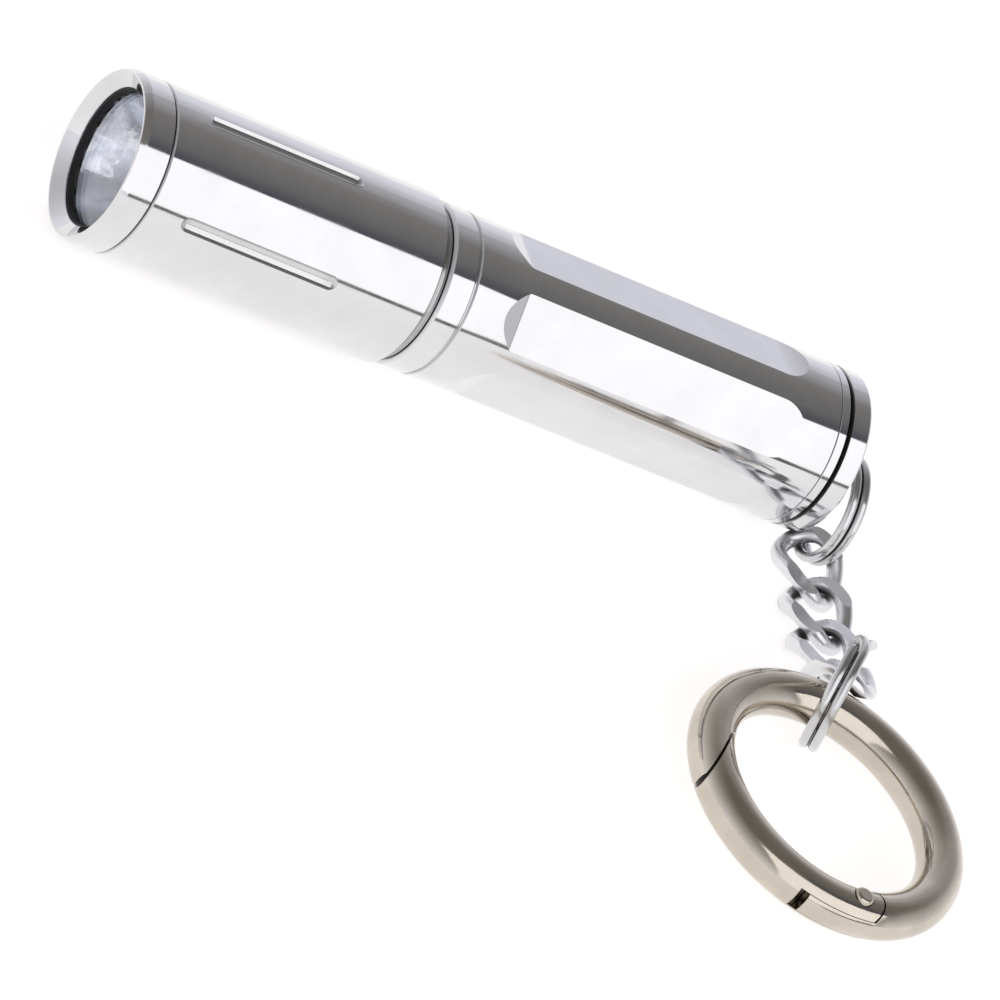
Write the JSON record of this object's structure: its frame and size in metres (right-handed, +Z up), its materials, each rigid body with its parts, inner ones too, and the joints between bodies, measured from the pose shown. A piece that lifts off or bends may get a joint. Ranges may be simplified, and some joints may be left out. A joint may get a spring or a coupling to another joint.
{
  "type": "keychain flashlight",
  "caption": "Slim twist-head keychain flashlight with flats on the body, on a split ring, a short curb chain and a round spring-gate ring.",
  "frame": {"origin": "centre of the bezel's front face, on the flashlight's axis", "axes": "+X from the lens end to the tail, +Z up with the flashlight lying on its side, the chain hangs off towards -Y"},
  "size_m": [0.0767, 0.0557, 0.0145],
  "materials": {
    "polished_steel": "polished stainless steel",
    "ring_steel": "bright spring steel wire",
    "chain_steel": "bright plated steel",
    "nickel": "polished nickel plate",
    "clear_glass": "clear, coated",
    "silvered": "vacuum metallised bowl",
    "black_rubber": "matt",
    "brass": "turned",
    "board_green": "solder mask",
    "board_alu": "white solder mask on aluminium",
    "phosphor": "silicone over phosphor",
    "white_plastic": "moulded",
    "black_plastic": "moulded",
    "wire_red": "insulated wire",
    "gold_spring": "plated spring wire",
    "cell_sleeve": "printed film",
    "cell_steel": "nickel plated can",
    "cell_core": "cell filling"
  },
  "bodies": {
    "body": {"body_tube": "polished_steel", "neck_oring": "black_rubber", "tail_cap": "polished_steel", "tail_oring": "black_rubber", "tail_spring": "gold_spring"},
    "battery": {"battery_can": "cell_steel", "battery_core": "cell_core", "battery_sleeve": "cell_sleeve", "battery_cap": "cell_steel", "battery_grommet": "white_plastic"},
    "head": {"bezel_ring": "polished_steel", "lens_gasket": "black_rubber", "lens": "clear_glass", "reflector": "silvered", "head_shell": "polished_steel", "emitter_insulator": "white_plastic", "led_board": "board_alu", "led_emitter": "white_plastic", "emitter_dome": "phosphor", "pill": "brass", "led_leads": "wire_red", "driver_board": "board_green", "driver_inductor": "black_plastic", "driver_controller": "black_plastic", "driver_contact": "brass", "driver_retainer": "brass"},
    "tail_ring": {"split_ring_tail": "ring_steel"},
    "link_1": {"chain_link_1": "chain_steel"},
    "link_2": {"chain_link_2": "chain_steel"},
    "link_3": {"chain_link_3": "chain_steel"},
    "link_4": {"chain_link_4": "chain_steel"},
    "end_ring": {"split_ring_end": "ring_steel"},
    "snap_ring": {"snap_ring_frame": "nickel", "gate_pin": "nickel", "gate_spring": "ring_steel"},
    "gate": {"snap_gate": "nickel"}
  },
  "joints": [
    {"name": "battery_slide", "type": "slide", "parent": "body", "child": "battery", "axis": [1, 0, 0], "range_m": [-0.00075, 0.00025], "deforming": ["tail_spring"]},
    {"name": "head_twist", "type": "hinge", "parent": "battery", "child": "head", "pos_m": [0, 0, 0], "axis": [1, 0, 0], "range_deg": [-361, 121]},
    {"name": "tail_ring_swing", "type": "hinge", "parent": "body", "child": "tail_ring", "pos_m": [0.06984, 0, 0], "axis": [-0.0643, -0.5159, 0.8542], "range_deg": [0, 60]},
    {"name": "link_1_swing", "type": "hinge", "parent": "tail_ring", "child": "link_1", "pos_m": [0.06969, -0.00541, -0.00611], "axis": [0.0727, 0.9068, -0.4152], "range_deg": [-20, 8]},
    {"name": "link_2_bend", "type": "hinge", "parent": "link_1", "child": "link_2", "pos_m": [0.06937, -0.00989, -0.00592], "axis": [0.9877, 0.0579, 0.145], "range_deg": [-15, 20]},
    {"name": "link_3_bend", "type": "hinge", "parent": "link_2", "child": "link_3", "pos_m": [0.06899, -0.01482, -0.00586], "axis": [-0.2028, 0.0293, 0.9788], "range_deg": [-10, 10]},
    {"name": "link_4_bend", "type": "hinge", "parent": "link_3", "child": "link_4", "pos_m": [0.06835, -0.0197, -0.00531], "axis": [0.9765, -0.1059, 0.188], "range_deg": [-7, 12]},
    {"name": "end_ring_swing", "type": "hinge", "parent": "link_4", "child": "end_ring", "pos_m": [0.06789, -0.02215, -0.00274], "axis": [0.9764, -0.02, 0.2148], "range_deg": [-2, 10]},
    {"name": "snap_ring_swing", "type": "hinge", "parent": "end_ring", "child": "snap_ring", "pos_m": [0.06673, -0.02597, -0.00655], "axis": [0.4572, 0.8811, 0.1214], "range_deg": [-3, 15]},
    {"name": "gate_hinge", "type": "hinge", "parent": "snap_ring", "child": "gate", "pos_m": [0.06487, -0.04688, -0.00515], "axis": [0.0073, 0.052, -0.9986], "range_deg": [0, 35], "stiffness_Nm_per_rad": 0.002, "springref_deg": -11.46, "deforming": ["gate_spring"]}
  ],
  "couplings": [
    {"joint": "head_twist", "follows": "battery_slide", "rad_per_m": 8377.6}
  ]
}
